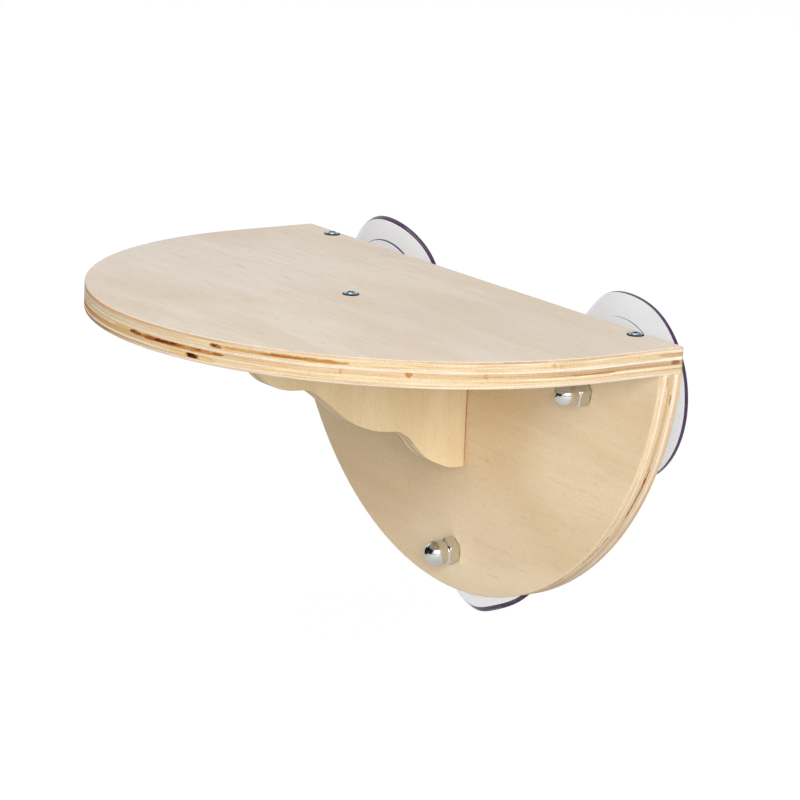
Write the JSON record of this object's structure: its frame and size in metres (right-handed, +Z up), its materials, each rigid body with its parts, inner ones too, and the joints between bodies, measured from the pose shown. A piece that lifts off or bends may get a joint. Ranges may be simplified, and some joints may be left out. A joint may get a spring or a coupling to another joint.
{
  "type": "window mounted cat perch",
  "caption": "Half-round plywood shelf on a curved back plate with a scalloped bracket, held to a window by clear suction cups under domed nuts.",
  "frame": {"origin": "on the window pane, on the perch's middle line, level with the top of the shelf", "axes": "+Z up, +Y into the window pane, +X to the right seen from the room"},
  "size_m": [0.295, 0.204, 0.18],
  "materials": {
    "plywood": "sanded birch plywood, clear and dull, with pale and brown plies on its edges",
    "zinc": "blue-white zinc plating",
    "nickel": "bright nickel plating",
    "clear_vinyl": "clear soft vinyl with a violet tint along its edges"
  },
  "bodies": {
    "frame": {"shelf": "plywood", "back_plate": "plywood", "bracket": "plywood", "shelf_screw_left": "zinc", "shelf_screw_right": "zinc", "shelf_screw_bracket": "zinc", "bracket_screw_upper": "zinc", "bracket_screw_lower": "zinc"},
    "cup_left": {"suction_cup_left": "clear_vinyl", "stud_left": "zinc"},
    "nut_left": {"cap_nut_left": "nickel"},
    "cup_right": {"suction_cup_right": "clear_vinyl", "stud_right": "zinc"},
    "nut_right": {"cap_nut_right": "nickel"},
    "cup_bottom": {"suction_cup_bottom": "clear_vinyl", "stud_bottom": "zinc"},
    "nut_bottom": {"cap_nut_bottom": "nickel"}
  },
  "joints": [
    {"name": "cup_left_slide", "type": "slide", "parent": "frame", "child": "cup_left", "axis": [0, 1, 0], "range_m": [0, 0.008]},
    {"name": "nut_left_turn", "type": "hinge", "parent": "frame", "child": "nut_left", "pos_m": [-0.09275, -0.026, -0.031], "axis": [0, -1, 0], "range_deg": [0, 2304.01]},
    {"name": "cup_right_slide", "type": "slide", "parent": "frame", "child": "cup_right", "axis": [0, 1, 0], "range_m": [0, 0.008]},
    {"name": "nut_right_turn", "type": "hinge", "parent": "frame", "child": "nut_right", "pos_m": [0.09275, -0.026, -0.031], "axis": [0, -1, 0], "range_deg": [0, 2304.01]},
    {"name": "cup_bottom_slide", "type": "slide", "parent": "frame", "child": "cup_bottom", "axis": [0, 1, 0], "range_m": [0, 0.008]},
    {"name": "nut_bottom_turn", "type": "hinge", "parent": "frame", "child": "nut_bottom", "pos_m": [0, -0.026, -0.127], "axis": [0, -1, 0], "range_deg": [0, 2304.01]}
  ],
  "couplings": [
    {"joint": "nut_left_turn", "follows": "cup_left_slide", "rad_per_m": 5026.5},
    {"joint": "nut_right_turn", "follows": "cup_right_slide", "rad_per_m": 5026.5},
    {"joint": "nut_bottom_turn", "follows": "cup_bottom_slide", "rad_per_m": 5026.5}
  ]
}
